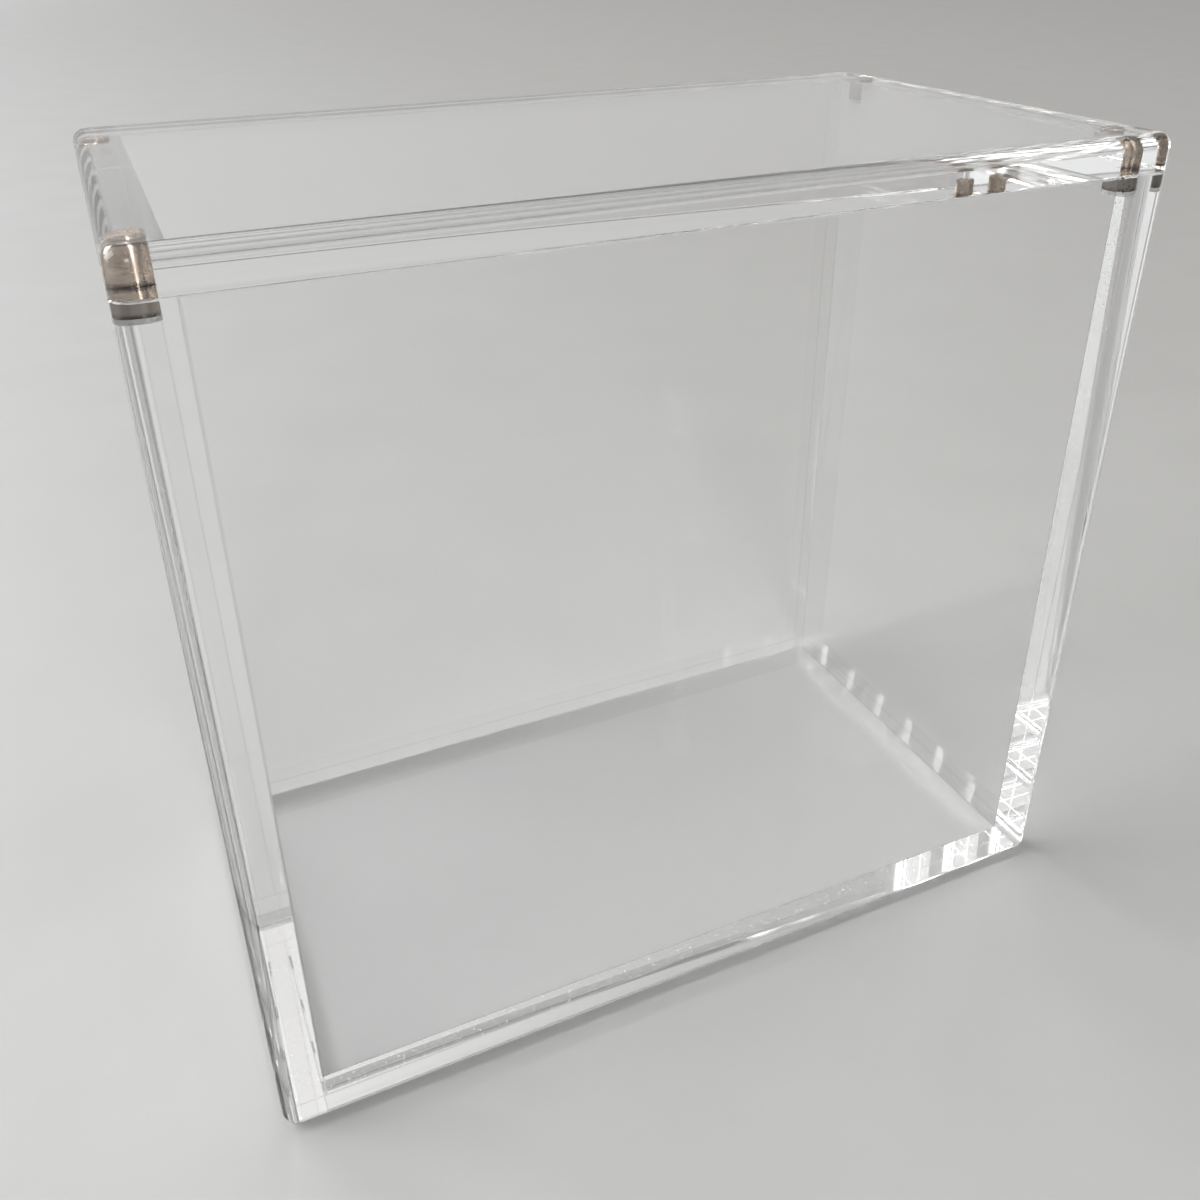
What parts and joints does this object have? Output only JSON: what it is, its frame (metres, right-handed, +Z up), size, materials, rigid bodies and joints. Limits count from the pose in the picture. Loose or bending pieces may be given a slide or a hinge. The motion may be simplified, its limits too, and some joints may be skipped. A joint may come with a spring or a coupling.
{
  "type": "clear acrylic display case with magnetic lid",
  "caption": "Clear box-shaped display case of thick polished acrylic, with a lift-off lid held at its corners by embedded disc magnets.",
  "frame": {"origin": "centre of the base's underside, on the surface that the case stands on", "axes": "+Z up, towards the lid; +X to the right of the front panel; -Y out of the front panel"},
  "size_m": [0.215, 0.12, 0.2021],
  "materials": {
    "acrylic_walls": "clear cast acrylic, polished",
    "acrylic_base": "clear cast acrylic, polished",
    "acrylic_lid": "clear cast acrylic, polished, rounded rim",
    "nickel_plate": "bright nickel plate with a warm tint",
    "adhesive": "cured clear adhesive, slightly milky"
  },
  "bodies": {
    "case": {"base_panel": "acrylic_base", "left_wall": "acrylic_walls", "right_wall": "acrylic_walls", "front_panel": "acrylic_walls", "back_panel": "acrylic_walls", "wall_magnet_front_left": "nickel_plate", "wall_magnet_front_right": "nickel_plate", "wall_magnet_back_left": "nickel_plate", "wall_magnet_back_right": "nickel_plate", "wall_adhesive_front_left": "adhesive", "wall_adhesive_front_right": "adhesive", "wall_adhesive_back_left": "adhesive", "wall_adhesive_back_right": "adhesive"},
    "lid": {"lid_panel": "acrylic_lid", "lid_magnet_front_left": "nickel_plate", "lid_magnet_front_right": "nickel_plate", "lid_magnet_back_left": "nickel_plate", "lid_magnet_back_right": "nickel_plate", "lid_adhesive_front_left": "adhesive", "lid_adhesive_front_right": "adhesive", "lid_adhesive_back_left": "adhesive", "lid_adhesive_back_right": "adhesive"}
  },
  "joints": [
    {"name": "lid_lift", "type": "slide", "parent": "case", "child": "lid", "axis": [0, 0, 1], "range_m": [0, 0.15]}
  ]
}
